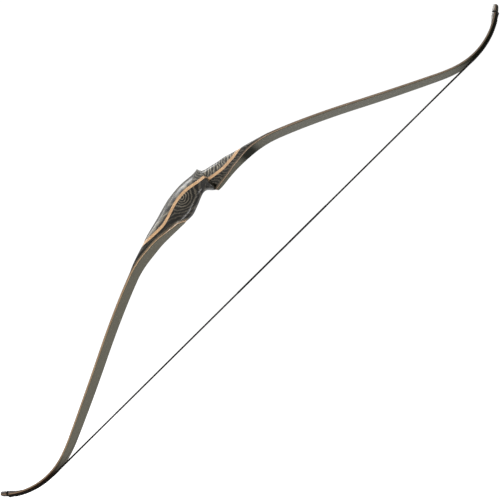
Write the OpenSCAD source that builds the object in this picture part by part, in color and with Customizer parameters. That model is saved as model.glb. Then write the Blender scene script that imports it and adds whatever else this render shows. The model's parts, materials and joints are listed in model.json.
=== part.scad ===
// One-piece laminated recurve bow, strung, for a right-handed archer.
// Origin: the throat of the grip, on the belly side, where the hand presses.
// +Z runs up the bow, +X from the back of the bow towards the string,
// and -Y is the side of the sight window and the arrow shelf.

/* [Limbs] */
// Height of the limbs' middle plane, measured from the throat
limb_mid_z = -16; // [-30:1:0]
// Thickness of each outer skin
glass_t = 1; // [0.8:0.1:1.4]
// Thickness of each wooden lamination at the fade-out
core_t_fade = 1.8; // [1.4:0.1:2.6]
// Thickness of each wooden lamination at the tip
core_t_tip = 1.1; // [0.8:0.1:1.6]
// Width of a limb at the fade-out
limb_w_fade = 43; // [40:0.5:50]
// Width of a limb halfway out
limb_w_mid = 43.5; // [40:0.5:50]
// Width of a limb where the recurve starts
limb_w_recurve = 36.5; // [32:0.5:42]
// Width of a limb at the string groove
limb_w_tip = 13; // [10:0.5:18]
// Height above the middle plane of the line where a limb bends
bend_h = 395; // [350:5:430]
// Length of the flat, slightly reflexed run before the recurve
run_l = 183.5; // [160:0.5:210]
// Length of the recurve along its belly
recurve_l = 167.4; // [160:0.1:175]
// Angle that the recurve turns through
recurve_turn = 66.15; // [62:0.05:70]

/* [Tips] */
// Distance of the string groove from the end of the tip
groove_from_end = 14; // [10:0.5:18]
// Radius of the string groove
groove_r = 1.7; // [1.5:0.1:2.2]
// Length of the overlay on the back of a tip
overlay_l = 50; // [40:1:90]
// Thickness of the overlay at the end of the tip
overlay_t = 3.6; // [2:0.2:5]

/* [Riser] */
// Height of the upper fade-out above the throat
fade_up = 176; // [165:1:190]
// Depth of the lower fade-out below the throat
fade_low = 223; // [212:1:235]
// Width of the grip at the throat
throat_w = 29; // [25:0.5:34]
// Depth of the grip at the throat, from the belly to the back
throat_depth = 42.6; // [38:0.2:46]
// Width of the palm swell
palm_w = 38; // [32:0.5:44]
// Height of the arrow shelf at its edge beside the window
shelf_z = 24; // [22:0.5:27]
// Side of the arrow shelf away from the window, from the middle plane
shelf_out = 20; // [16:0.5:23]
// Height that the shelf's rounded edge drops
shelf_drop = 4; // [2:0.5:6]
// Fall of the shelf's crown towards the back and the belly
shelf_crown = 2; // [0:0.25:3]
// Offset of the window's face beyond the middle plane
window_y = 4; // [2:0.5:6]
// Far side of the riser beside the window
window_far = 20; // [16:0.5:22]
// Thickness of the light accent stripe
stripe_t = 6; // [4:0.5:7]

/* [String] */
// Radius of the string's strands
strand_r = 1.5; // [1.2:0.1:1.8]
// Radius of the string's twisted ends
twist_r = 1.9; // [1.6:0.1:2.2]
// Radius of the centre serving
serving_r = 1.75; // [1.6:0.05:2]
// Radius of each leg of an end loop
loop_r = 1.3; // [1:0.1:1.4]
// Height of the nocking point above the throat
nock_z = 35; // [29:1:42]
// Length of the centre serving
serving_l = 250; // [180:5:300]
// Length of a twisted end, from where it leaves the limb
twist_l = 178; // [120:2:220]
// Distance from the groove to where the loop's two legs join
loop_l = 16; // [13:0.5:22]
// Length of each half-round end where the string's halves pass at the nocking point
lap_l = 26; // [26:1:32]
// Length over which those two ends lie side by side while the bow is at rest
lap_rest = 8; // [4:1:8]

/* [Hidden] */
$fn = 48;

// Gap between a cord and the limb that it lies on
cord_gap = 0.2;
// Gap between the loop's two ends and the cord that goes on from them
join_gap = 0.3;
// Gap between the two half-round ends of the string
lap_gap = 0.2;
// Thickness left at a feathered wooden edge
feather = 0.3;
// Gap between the inner and the outer piece of each of a limb's layers
bend_gap = 0.02;

// Belly line of a limb from the riser outwards, as arcs of [length, turn in degrees]:
// the run-out into the riser, the hollow over the riser, the fade-out, the working
// limb in four easy bends, and the recurve
LIMB_ARCS = [
    [16, 26.5], [72, 12.6], [42, 3.8], [52, 18.3],
    [66, 2.85], [104, 3], [run_l, -1.95], [34, -6.65], [recurve_l, -recurve_turn]
];
// Start of the belly line: distance from the throat plane, and height above the middle plane
LIMB_START = [26.1, 23.6];
// Heading of the belly line there, from +Z towards +X
LIMB_HEADING = -38.6;

// Position [x, z] at the given fraction of an arc that starts at p with heading a
function arc_point(p, a, arc, f) =
    let (r = arc[0] / (arc[1] * PI / 180), b = a + arc[1] * f)
    [p[0] + r * (cos(a) - cos(b)), p[1] + r * (sin(b) - sin(a))];

// Each arc as [distance at start, point at start, heading at start, arc]
ARC_STARTS = [
    for (i = 0, s = 0, p = LIMB_START, a = LIMB_HEADING;
         i < len(LIMB_ARCS);
         s = s + LIMB_ARCS[i][0], p = arc_point(p, a, LIMB_ARCS[i], 1), a = a + LIMB_ARCS[i][1], i = i + 1)
    [s, p, a, LIMB_ARCS[i]]
];
limb_end = ARC_STARTS[len(ARC_STARTS) - 1][0] + LIMB_ARCS[len(LIMB_ARCS) - 1][0];

function last_where(tests) = max([0, for (i = [0:len(tests) - 1]) if (tests[i]) i]);

// Belly line at distance s along it, as [x, z, heading]
function belly(s) =
    let (
        e = ARC_STARTS[last_where([for (e = ARC_STARTS) s >= e[0]])],
        f = (s - e[0]) / e[3][0],
        p = arc_point(e[1], e[2], e[3], f)
    )
    [p[0], p[1], e[2] + e[3][1] * f];

// Distance along the belly line at height z above the middle plane, up to the recurve
function distance_at(z) =
    let (
        e = ARC_STARTS[last_where([for (e = ARC_STARTS) z >= e[1][1]])],
        turn = e[3][1] * PI / 180,
        r = e[3][0] / turn
    )
    e[0] + r * (asin(sin(e[2]) + (z - e[1][1]) / r) - e[2]) * PI / 180;

// Places along the belly line
s_recurve = ARC_STARTS[len(ARC_STARTS) - 1][0];
s_groove = limb_end - groove_from_end;
s_join = s_groove - loop_l;
recurve_r = recurve_l / (recurve_turn * PI / 180);
s_lift = s_recurve + ARC_STARTS[len(ARC_STARTS) - 1][2] * PI / 180 * recurve_r;
s_contact_mid = (s_join + s_lift) / 2;
string_x = belly(s_lift)[0] + twist_r + cord_gap;

function s_fade(side) = distance_at(side == "upper" ? fade_up - limb_mid_z : fade_low + limb_mid_z);
function s_bend(side) = distance_at(bend_h);

// Thickness of one wooden lamination, and the depth of the face above layer k
function core_t(s) =
    let (s0 = s_fade("upper"))
    core_t_fade + (core_t_tip - core_t_fade) * min(1, max(0, (s - s0) / (limb_end - s0)));
function depth(k, s) = [0, glass_t, glass_t + core_t(s), glass_t + 2 * core_t(s), 2 * (glass_t + core_t(s))][k];

// Half of a limb's width at distance s
function half_w(s) =
    let (s0 = s_fade("upper"), run = s_recurve - s0, hook = s_groove - s_recurve)
    curve(s, [
        [s0, limb_w_fade / 2],
        [s0 + 0.55 * run, limb_w_mid / 2],
        [s0 + 0.77 * run, 0.26 * (limb_w_mid + limb_w_recurve)],
        [s0 + 0.975 * run, limb_w_recurve / 2],
        [s_recurve + 0.42 * hook, 0.21 * (limb_w_recurve + limb_w_tip)],
        [s_groove, limb_w_tip / 2],
        [limb_end, limb_w_tip / 2 - 1.5]
    ]);

// Smooth curve through [position, value] pairs
function rate(pts, i) =
    let (a = max(0, i - 1), b = min(len(pts) - 1, i + 1))
    (pts[b][1] - pts[a][1]) / (pts[b][0] - pts[a][0]);
function curve(z, pts) =
    let (
        i = min(len(pts) - 2, last_where([for (p = pts) z >= p[0]])),
        h = pts[i + 1][0] - pts[i][0],
        t = min(1, max(0, (z - pts[i][0]) / h)),
        m0 = rate(pts, i) * h,
        m1 = rate(pts, i + 1) * h
    )
    (2 * t ^ 3 - 3 * t ^ 2 + 1) * pts[i][1] + (t ^ 3 - 2 * t ^ 2 + t) * m0
    + (3 * t ^ 2 - 2 * t ^ 3) * pts[i + 1][1] + (t ^ 3 - t ^ 2) * m1;

// Heights on the riser, all from the throat.
// The strips end in a scarf that the grip's surface cuts through all four layers.
scarf_low = [-74, -60];
scarf_up = [22, 17];
// Last level section of the strips before each scarf
strip_low_z = -82;
strip_up_z = shelf_z + 6;
stripe_ends = [-168, 114];
front_ends = [-157, 105];

function mirror_z(side, z) = side == "upper" ? z - limb_mid_z : limb_mid_z - z;
// How much fuller the riser's belly is than a limb's own line
FULLNESS = [
    [-223, 0], [-200, 0.9], [-172, 1.4], [-140, 0.3], [-116, 1.7], [-96, 2.4], [-86, 2.1], [-77, 2.3],
    [-68, 4.3], [-59, 6.2], [-40, 6.2], [10, -2.6], [50, -3.1], [90, -3.1], [126, -2.3], [150, -0.9],
    [176, 0]
];
// Face at depth k of the bonded strips, at height z on the riser
function strip_line(side, z, k) =
    let (s = distance_at(mirror_z(side, z)), b = belly(s))
    b[0] + curve(z, FULLNESS) - depth(k, s) / cos(b[2]);
function scarf_line(side, z, near, end) =
    let (a = strip_line(side, near, 4), b = strip_line(side, end, 4))
    a + (b - a) * (z - near) / (end - near);
function bond_line(z) =
    z < strip_low_z ? strip_line("lower", z, 4)
    : z < scarf_low[1] ? scarf_line("lower", z, strip_low_z, scarf_low[1])
    : z > strip_up_z ? strip_line("upper", z, 4)
    : scarf_line("upper", z, strip_up_z, scarf_up[1]);
// Belly of the bare grip: heel, hollow of the throat, and the beak under the shelf
GRIP_LINE = [
    [scarf_low[1], bond_line(scarf_low[1] - 0.001)],
    [-50, 17.7], [-43, 15.6], [-37, 13.2], [-31, 10.9], [-24, 8.1], [-17, 5], [-10, 2], [-4, 0.3],
    [0, 0], [4, 0.9], [8, 3.8], [12.5, 8.6],
    [scarf_up[1], bond_line(scarf_up[1] + 0.001)]
];
function has_strip(z) = z < scarf_low[1] || z > scarf_up[1];
function wood_belly(z) = has_strip(z) ? bond_line(z) : curve(z, GRIP_LINE);
// Outer surface on the belly side: the strips, their scarfs, and the grip between them
function scarf_face(side, z, ends) =
    let (a = strip_line(side, ends[0], 0), b = wood_belly(ends[1]))
    a + (b - a) * (z - ends[0]) / (ends[1] - ends[0]);
function outer_belly(z) =
    z < scarf_low[0] ? strip_line("lower", z, 0)
    : z < scarf_low[1] ? scarf_face("lower", z, scarf_low)
    : z > scarf_up[0] ? strip_line("upper", z, 0)
    : z > scarf_up[1] ? scarf_face("upper", z, scarf_up)
    : curve(z, GRIP_LINE);

// Back of the riser
FRONT_LINE = [
    [-223, 22.2], [-207, 13.9], [-187, 5.4], [-166, -3], [-146, -12.1], [-126, -19.3],
    [-106, -26], [-86, -33.1], [-66, -38.9], [-46, -41.7], [-25, -throat_depth - 1],
    [-5, -throat_depth], [15, -throat_depth + 3], [shelf_z, -throat_depth + 3.9],
    [shelf_z + 5, -35.9], [53, -29.9], [73, -23.9], [93, -15.6], [114, -6.5],
    [134, 0.9], [155, 8.3], [176, 15.7]
];
function back_line(z) = min(curve(z, FRONT_LINE), wood_belly(z) - feather);

// Middle of the light stripe, a slow wave through the riser
STRIPE_LINE = [
    [-168, -4.2], [-136, -2.1], [-106, -3.1], [-86, -8.8], [-66, -16], [-46, -20.5],
    [-25, -22.1], [-5, -20.2], [15, -15.5], [25, -13.4], [43, -10.2], [63, -7.7],
    [83, -6.3], [104, -6.6], [114, -7.4]
];
function within(z, ends) = z >= ends[0] && z <= ends[1];
function stripe_front(z) =
    within(z, front_ends) ? max(back_line(z) + feather, curve(z, STRIPE_LINE) - stripe_t / 2) : back_line(z);
function stripe_back(z) =
    within(z, stripe_ends)
        ? max(stripe_front(z) + feather, curve(z, STRIPE_LINE) + stripe_t / 2)
        : back_line(z);

// Flanks of the riser: the far side, and the near side below and beside the window
RIGHT_FLANK = [
    [-fade_low, limb_w_fade / 2], [-185, 21.2], [-147, 20], [-106, 17.4], [-76, 17.2],
    [-40, palm_w / 2], [-18, 16.6], [0, throat_w / 2], [14, 17.2], [shelf_z, window_far],
    [55, window_far - 0.2], [93, window_far], [124, 20.4], [154, 21],
    [fade_up, limb_w_fade / 2]
];
LEFT_FLANK_LOW = [
    [-fade_low, -limb_w_fade / 2], [-185, -21.2], [-147, -20], [-106, -17.4], [-76, -17.2],
    [-40, -palm_w / 2], [-18, -16.6], [0, -throat_w / 2], [12, -17],
    [shelf_z - shelf_drop, -shelf_out]
];
LEFT_FLANK_UP = [
    [shelf_z, window_y], [54, window_y], [66, 1.5], [78, -3], [90, -5.5], [102, -10],
    [114, -14.5], [126, -17.8], [154, -20.7], [fade_up, -limb_w_fade / 2]
];
// Radii of the corners at the back and at the belly, seen from above
BACK_CORNER = [
    [-223, 0.8], [-190, 2], [-150, 6], [-100, 10], [-40, 13], [0, 11], [shelf_z, 6],
    [60, 5], [110, 4], [150, 2], [176, 0.8]
];
BELLY_CORNER_LOW = [
    [-223, 0.8], [-150, 0.8], [-128, 2.6], [-106, 5.2], [-88, 8], [-78, 10.4], [-68, 14.4],
    [-50, 15], [-20, 14], [0, 12], [14, 11], [24, 9]
];
BELLY_CORNER_UP = [[scarf_up[1], 11], [shelf_z, 5], [shelf_z + 12, 1.6], [60, 0.8], [176, 0.8]];
// How much longer a corner is from back to belly than from side to side
corner_stretch = 1.7;

function corner(d, r) = d >= corner_stretch * r ? 0 : r * (1 - sqrt(1 - (1 - max(0, d) / (corner_stretch * r)) ^ 2));
// Height on the shelf's rounded edge as an angle from its side to its top
function shelf_angle(z) = asin(min(1, max(0, (z - shelf_z + shelf_drop) / shelf_drop)));
function flank_left(z) =
    z <= shelf_z - shelf_drop ? curve(z, LEFT_FLANK_LOW)
    : z < shelf_z ? -shelf_out + (shelf_out + window_y) * (1 - cos(shelf_angle(z)))
    : min(window_y, curve(z, LEFT_FLANK_UP));
function flank_right(z) = curve(z, RIGHT_FLANK);
function widest_corner(z) = 0.45 * (flank_right(z) - flank_left(z));
function inset(z, x, belly_x, belly_r) =
    let (most = widest_corner(z))
    corner(x - back_line(z), min(most, curve(z, BACK_CORNER)))
    + corner(belly_x - x, min(most, belly_r));
// The shelf's near side ends at the bond line, and the strips run on beside it
function left_y(z, x) =
    z > shelf_z ? flank_left(z) + inset(z, x, outer_belly(z), curve(z, BELLY_CORNER_UP))
    : flank_left(z) + inset(z, x, z > scarf_up[1] ? wood_belly(z) : outer_belly(z), curve(z, BELLY_CORNER_LOW));
function right_y(z, x) =
    flank_right(z)
    - inset(z, x, outer_belly(z), z < scarf_up[1] ? curve(z, BELLY_CORNER_LOW) : curve(z, BELLY_CORNER_UP));
// Fall of the crowned shelf at x, for the points on the shelf's side of a section
shelf_mid_x = -13;
shelf_half_l = 24;
function crown(z, x) =
    z > shelf_z - shelf_drop && z <= shelf_z
        ? -shelf_crown * sin(shelf_angle(z)) * min(1, ((x - shelf_mid_x) / shelf_half_l) ^ 2)
        : 0;

// Section of the riser at height z between two lines, sampled at the given fractions
function section(z, x0, x1, fractions) =
    let (n = len(fractions), xs = [for (f = fractions) x0 + (x1 - x0) * f])
    concat(
        [for (i = [0:n - 1]) [xs[i], left_y(z, xs[i]), z + crown(z, xs[i])]],
        [for (i = [n - 1:-1:0]) [xs[i], right_y(z, xs[i]), z]]
    );
ROUND_BOTH = [for (i = [0:12]) (1 - cos(15 * i)) / 2];
ROUND_BACK = [for (i = [0:7]) 1 - cos(90 * i / 7)];

// Heights of the riser's sections
function spread(a, b, n) = [for (i = [0:n - 1]) a + (b - a) * i / n];
SHELF_Z = [for (t = [0:15:90]) shelf_z - shelf_drop + shelf_drop * sin(t)];
RISER_Z = concat(
    spread(-fade_low, stripe_ends[0], 6), spread(stripe_ends[0], front_ends[0], 2),
    spread(front_ends[0], strip_low_z, 12), spread(strip_low_z, scarf_low[1], 4),
    spread(scarf_low[1], scarf_up[1], 16), [scarf_up[1]],
    SHELF_Z, spread(strip_up_z, front_ends[1], 12), spread(front_ends[1], stripe_ends[1], 2),
    spread(stripe_ends[1], fade_up, 8), [fade_up]
);

// Solid through rings of points, closed at both ends. A ring has an even number of points,
// out along one side and back along the other
module loft(rings) {
    n = len(rings[0]);
    last = (len(rings) - 1) * n;
    sides = [
        for (i = [0:len(rings) - 2]) for (j = [0:n - 1])
        let (a = i * n + j, b = i * n + (j + 1) % n)
        each [[a, a + n, b], [b, a + n, b + n]]
    ];
    caps = [
        for (j = [0:n / 2 - 2])
        let (a = j, b = j + 1, c = n - 2 - j, d = n - 1 - j)
        each [[a, b, d], [b, c, d], [last + b, last + a, last + d], [last + c, last + b, last + d]]
    ];
    polyhedron(points = [for (r = rings) each r], faces = concat(sides, caps));
}

// Everything on the lower limb is the upper limb's form, mirrored in the middle plane
module limb_side(side) {
    translate([0, 0, limb_mid_z]) mirror([0, 0, side == "upper" ? 0 : 1]) children();
}

// Flat outline in the plane of the bow, w wide
module across(w) {
    rotate([90, 0, 0]) linear_extrude(w, center = true) children();
}

module riser_grip_block() {
    color([0.2, 0.19, 0.17])
        loft([for (z = RISER_Z) section(z, stripe_back(z), wood_belly(z), ROUND_BOTH)]);
}

module riser_front_block() {
    color([0.26, 0.25, 0.23])
        loft([for (z = RISER_Z) if (within(z, front_ends)) section(z, back_line(z), stripe_front(z), ROUND_BACK)]);
}

module accent_stripe() {
    color([0.88, 0.71, 0.5])
        loft([for (z = RISER_Z) if (within(z, stripe_ends)) section(z, stripe_front(z), stripe_back(z), [0, 1])]);
}

// Point on the limb at distance s, depth d below the belly, in the plane of the bow
function limb_point(s, d) =
    let (b = belly(s))
    [b[0] - d * cos(b[2]), b[1] + d * sin(b[2])];

// Edge of a bonded strip over the riser. Beside the shelf it stays at the window's face
function strip_left(side, z, x) =
    side == "upper" && z <= shelf_z ? window_y : left_y(z, x);
// Section of layer k over the riser, its outer face at height z0 and its inner at z1
function strip_section(side, k, z0, z1) =
    let (
        x0 = strip_line(side, z0, k),
        x1 = strip_line(side, z1, k + 1),
        h0 = mirror_z(side, z0),
        h1 = mirror_z(side, z1)
    )
    concat(
        [for (f = [0, 0.5, 1]) let (z = z0 + (z1 - z0) * f, x = x0 + (x1 - x0) * f)
            [x, strip_left(side, z, x), h0 + (h1 - h0) * f]],
        [for (f = [1, 0.5, 0]) let (z = z0 + (z1 - z0) * f, x = x0 + (x1 - x0) * f)
            [x, right_y(z, x), h0 + (h1 - h0) * f]]
    );
// The same beyond the fade-out, where the limb is free
function free_section(k, s) =
    let (w = half_w(s), d0 = depth(k, s), d1 = depth(k + 1, s))
    concat(
        [for (f = [0, 0.5, 1]) let (p = limb_point(s, d0 + (d1 - d0) * f)) [p[0], -w, p[1]]],
        [for (f = [1, 0.5, 0]) let (p = limb_point(s, d0 + (d1 - d0) * f)) [p[0], w, p[1]]]
    );

function layer_color(k) = k == 0 || k == 3 ? [0.13, 0.13, 0.12] : [0.74, 0.62, 0.46];

// Inner end of layer k: the bonded strip over the riser, and the limb up to its bend
module base_layer(side, k) {
    up = side == "upper";
    scarf = up ? scarf_up : scarf_low;
    share = [for (i = [0:4]) depth(i, 0) / depth(4, 0)];
    ends = [for (f = share) scarf[0] + (scarf[1] - scarf[0]) * f];
    level = [for (z = RISER_Z) if (up ? z >= strip_up_z : z <= strip_low_z) z];
    count = len(level);
    outward = up ? level : [for (i = [count - 1:-1:0]) level[i]];
    free = [for (i = [1:8]) s_fade(side) + (s_bend(side) - s_fade(side)) * i / 8];
    color(layer_color(k)) limb_side(side) loft(concat(
        [strip_section(side, k, ends[k], ends[k + 1])],
        [for (z = outward) strip_section(side, k, z, z)],
        [for (s = free) free_section(k, s)]
    ));
}

// Distances of the working limb's stations, closer together in the recurve
s_overlay = limb_end - overlay_l;
s_run_end = s_recurve - LIMB_ARCS[len(LIMB_ARCS) - 2][0];
STATIONS = concat(
    spread(s_fade("upper"), s_run_end, 13), spread(s_run_end, s_recurve, 2),
    spread(s_recurve, s_overlay, 14), spread(s_overlay, limb_end, 7), [limb_end]
);
function stations(from) = concat([from], [for (s = STATIONS) if (s > from + 2) s]);
function layer_outline(at, d0, d1) =
    concat(
        [for (s = at) limb_point(s, d0(s))],
        [for (i = [len(at) - 1:-1:0]) limb_point(at[i], d1(at[i]))]
    );

// The limb seen from the belly, with rounded tip corners, from distance s on
module limb_plan(from) {
    at = stations(from - 6);
    edge = [for (s = at) [half_w(s), belly(s)[1]]];
    tip = limb_point(limb_end, 0)[1];
    outline = concat(edge, [[limb_w_tip / 2 - 3, tip + 2.5], [1.5, tip + 4]]);
    rotate([90, 0, 90]) linear_extrude(3 * string_x, center = true)
        polygon(concat(outline, [for (i = [len(outline) - 1:-1:0]) [-outline[i][0], outline[i][1]]]));
}

// Notches that the string's loop lies in, on both edges of a tip
module string_groove() {
    b = belly(s_groove);
    for (y = [-1, 1])
        translate([b[0], y * (limb_w_tip / 2 + 0.4), b[1]])
            rotate([0, -90 + b[2], 0])
                cylinder(r = groove_r, h = 4 * limb_w_tip, center = true);
}

module limb_piece(side, from, d0, d1) {
    at = stations(from);
    limb_side(side) difference() {
        intersection() {
            across(2 * limb_w_mid) polygon(layer_outline(at, d0, d1));
            limb_plan(from);
        }
        string_groove();
    }
}

// Layer k of the working limb, from its bend to the tip
module limb_layer(side, k) {
    color(layer_color(k))
        limb_piece(side, s_bend(side) + bend_gap, function(s) depth(k, s), function(s) depth(k + 1, s));
}

function overlay_at(s) = feather + (overlay_t - feather) * max(0, (s - s_overlay) / overlay_l);
module tip_overlay(side) {
    color([0.1, 0.09, 0.08])
        limb_piece(side, s_overlay, function(s) depth(4, s), function(s) depth(4, s) + overlay_at(s));
}

// Tube along a route, with the given radius
function unit(v) = v / norm(v);
function tangent(pts, i) = unit(pts[min(len(pts) - 1, i + 1)] - pts[max(0, i - 1)]);
function settle(n, t) = unit(n - (n * t) * t);
module tube(pts, r, first) {
    sides = 8;
    normals = [
        for (i = 0, n = settle(first, tangent(pts, 0)); i < len(pts);
             i = i + 1, n = settle(n, tangent(pts, min(i, len(pts) - 1))))
        n
    ];
    loft([
        for (i = [0:len(pts) - 1])
        let (n = normals[i], c = cross(tangent(pts, i), n))
        [for (j = [0:sides - 1]) pts[i] + r * (cos(-360 * j / sides) * n + sin(-360 * j / sides) * c)]
    ]);
}

// Loop round the tip: up one leg, through the groove, over the back and down the other
function tip_point(s, y, d) = let (p = limb_point(s, d)) [p[0], y, p[1]];
module string_loop(side) {
    over = -loop_r - cord_gap;
    under = depth(4, s_groove) + overlay_at(s_groove) + loop_r + 0.3;
    out = limb_w_tip / 2 + 0.4;
    half = [
        [-loop_l + join_gap, loop_r + 0.1, over], [-loop_l + 3, loop_r + 0.25, over],
        [-loop_l * 0.6, loop_r + 1.2, over], [-loop_l * 0.35, out * 0.55, over],
        [-loop_l * 0.15, out * 0.84, over - 0.1], [-0.9, out * 0.98, over + 0.2],
        [-0.1, out + 0.3, over + 1.3], [0, out + 0.35, 1.4], [0, out + 0.35, under - 3.4],
        [0, out + 0.1, under - 1.6], [0, out - 1, under - 0.4], [0, out * 0.6, under], [0, out * 0.2, under]
    ];
    route = concat(
        [for (p = half) tip_point(s_groove + p[0], p[1], p[2])],
        [for (i = [len(half) - 1:-1:0]) tip_point(s_groove + half[i][0], -half[i][1], half[i][2])]
    );
    color([0.12, 0.11, 0.1]) limb_side(side) tube(route, loop_r, [1, 0, 0.5]);
}

// Part of the string that lies on the recurve between two distances
module string_contact(side, from, to) {
    b = belly(from);
    turn = (to - from) / recurve_r * 180 / PI;
    color([0.12, 0.11, 0.1])
        limb_side(side)
            translate([b[0] - recurve_r * cos(b[2]), 0, b[1] + recurve_r * sin(b[2])])
                rotate([90, b[2], 0])
                    rotate_extrude(angle = turn)
                        translate([recurve_r + cord_gap + twist_r, 0]) circle(twist_r);
}

// Heights of the straight string on one side, above the limbs' middle plane
function nock_h(side) = mirror_z(side, nock_z);
function lift_h() = belly(s_lift)[1];

// Straight length of string between two heights, tapering from one radius to another
module string_run(side, low, high, r_low, r_high) {
    color([0.12, 0.11, 0.1])
        limb_side(side)
            translate([string_x, 0, low])
                cylinder(h = high - low, r1 = r_low, r2 = r_high);
}

module string_twist(side) {
    string_run(side, lift_h() - twist_l, lift_h(), strand_r, twist_r);
}

module string_strand(side) {
    string_run(side, nock_h(side) + serving_l / 2, lift_h() - twist_l, strand_r, strand_r);
}

// Half of the centre serving. Its end is half round, so that the two halves pass each other
module serving(side) {
    low = nock_h(side) - lap_rest / 2;
    toward = side == "upper" ? -1 : 1;
    block = 4 * serving_r;
    color([0.06, 0.06, 0.06])
        limb_side(side) difference() {
            translate([string_x, 0, low]) cylinder(h = (serving_l + lap_rest) / 2, r = serving_r);
            translate([string_x, toward * (block - lap_gap) / 2, low + (lap_l - block) / 2])
                cube([block, block, lap_l + block], center = true);
        }
}

riser_grip_block();
riser_front_block();
accent_stripe();
base_layer("upper", 0);  // upper_belly_glass_base
base_layer("upper", 1);  // upper_belly_core_base
base_layer("upper", 2);  // upper_back_core_base
base_layer("upper", 3);  // upper_back_glass_base
limb_layer("upper", 0);  // upper_belly_glass
limb_layer("upper", 1);  // upper_belly_core
limb_layer("upper", 2);  // upper_back_core
limb_layer("upper", 3);  // upper_back_glass
tip_overlay("upper");  // upper_tip_overlay
string_loop("upper");  // upper_string_loop
string_contact("upper", s_contact_mid, s_join);  // upper_string_contact_outer
string_contact("upper", s_lift, s_contact_mid);  // upper_string_contact_inner
string_twist("upper");  // upper_string_twist
string_strand("upper");  // upper_string_strand
serving("upper");  // upper_serving
base_layer("lower", 0);  // lower_belly_glass_base
base_layer("lower", 1);  // lower_belly_core_base
base_layer("lower", 2);  // lower_back_core_base
base_layer("lower", 3);  // lower_back_glass_base
limb_layer("lower", 0);  // lower_belly_glass
limb_layer("lower", 1);  // lower_belly_core
limb_layer("lower", 2);  // lower_back_core
limb_layer("lower", 3);  // lower_back_glass
tip_overlay("lower");  // lower_tip_overlay
string_loop("lower");  // lower_string_loop
string_contact("lower", s_contact_mid, s_join);  // lower_string_contact_outer
string_contact("lower", s_lift, s_contact_mid);  // lower_string_contact_inner
string_twist("lower");  // lower_string_twist
string_strand("lower");  // lower_string_strand
serving("lower");  // lower_serving
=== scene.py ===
"""Looks of a strung, laminated recurve bow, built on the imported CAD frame.

The bow's lengths are in millimetres, which loft scales to metres, and angles are in degrees. A place on a
limb is its distance s along the belly line, from the grip outwards, and its depth d below the belly face. A
height h is measured outwards from the plane midway between the tips, the same way on both sides, and world
turns it into a place of the frame. A height z on the riser is above the throat of the grip."""
import json
import math

import bpy
import numpy as np
from mathutils import Matrix, Vector

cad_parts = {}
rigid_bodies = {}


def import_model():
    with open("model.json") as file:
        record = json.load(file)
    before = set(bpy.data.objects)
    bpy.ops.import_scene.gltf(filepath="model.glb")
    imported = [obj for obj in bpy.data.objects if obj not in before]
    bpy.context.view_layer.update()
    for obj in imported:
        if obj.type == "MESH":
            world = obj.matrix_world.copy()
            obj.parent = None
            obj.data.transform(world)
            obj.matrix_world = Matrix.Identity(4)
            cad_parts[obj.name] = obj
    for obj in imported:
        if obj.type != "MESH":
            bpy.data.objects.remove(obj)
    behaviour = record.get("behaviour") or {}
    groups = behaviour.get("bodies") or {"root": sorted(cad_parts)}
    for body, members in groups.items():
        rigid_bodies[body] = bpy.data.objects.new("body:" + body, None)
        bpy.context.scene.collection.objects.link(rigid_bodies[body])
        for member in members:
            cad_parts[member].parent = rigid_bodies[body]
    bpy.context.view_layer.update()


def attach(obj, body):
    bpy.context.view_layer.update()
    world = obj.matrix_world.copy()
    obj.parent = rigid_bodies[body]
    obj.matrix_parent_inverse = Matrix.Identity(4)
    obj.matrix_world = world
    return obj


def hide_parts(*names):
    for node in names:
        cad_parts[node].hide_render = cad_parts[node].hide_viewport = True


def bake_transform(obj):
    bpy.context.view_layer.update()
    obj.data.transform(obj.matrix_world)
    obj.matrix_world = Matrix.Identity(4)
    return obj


for old in list(bpy.data.objects):
    bpy.data.objects.remove(old)

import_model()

MM = 0.001
OUTWARD = {"upper": 1, "lower": -1}


def cosd(a):
    return math.cos(math.radians(a))


def sind(a):
    return math.sin(math.radians(a))


def clamp(v):
    return min(1, max(0, v))


# Camera. Its target and distances are in metres, and its roll is given as shares of up and of right
AZIMUTH, ELEVATION = 22.0, 4.5
TARGET = Vector((0.1611, 0.0, -0.013))
DISTANCE = 23.85
ROLL_UP, ROLL_RIGHT = 0.7108, 0.7034
SENSOR_W, FOCAL_L = 36, 855
CLIP_NEAR, CLIP_FAR = 0.5, 300


def place_camera():
    """A long lens at the photograph's angle, rolled so that the bow lies on the diagonal."""
    back = Vector((sind(AZIMUTH) * cosd(ELEVATION), -cosd(AZIMUTH) * cosd(ELEVATION), sind(ELEVATION)))
    level_up = (Vector((0, 0, 1)) - back * back.z).normalized()
    level_right = level_up.cross(back)
    right = (ROLL_UP * level_up + ROLL_RIGHT * level_right).normalized()
    up = back.cross(right)
    lens = bpy.data.cameras.new("camera")
    lens.sensor_width = SENSOR_W
    lens.lens = FOCAL_L
    lens.clip_start, lens.clip_end = CLIP_NEAR, CLIP_FAR
    camera = bpy.data.objects.new("camera", lens)
    bpy.context.scene.collection.objects.link(camera)
    axes = Matrix((right, up, back)).transposed().to_4x4()
    camera.matrix_world = Matrix.Translation(TARGET + back * DISTANCE) @ axes
    bpy.context.scene.camera = camera


place_camera()

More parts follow.
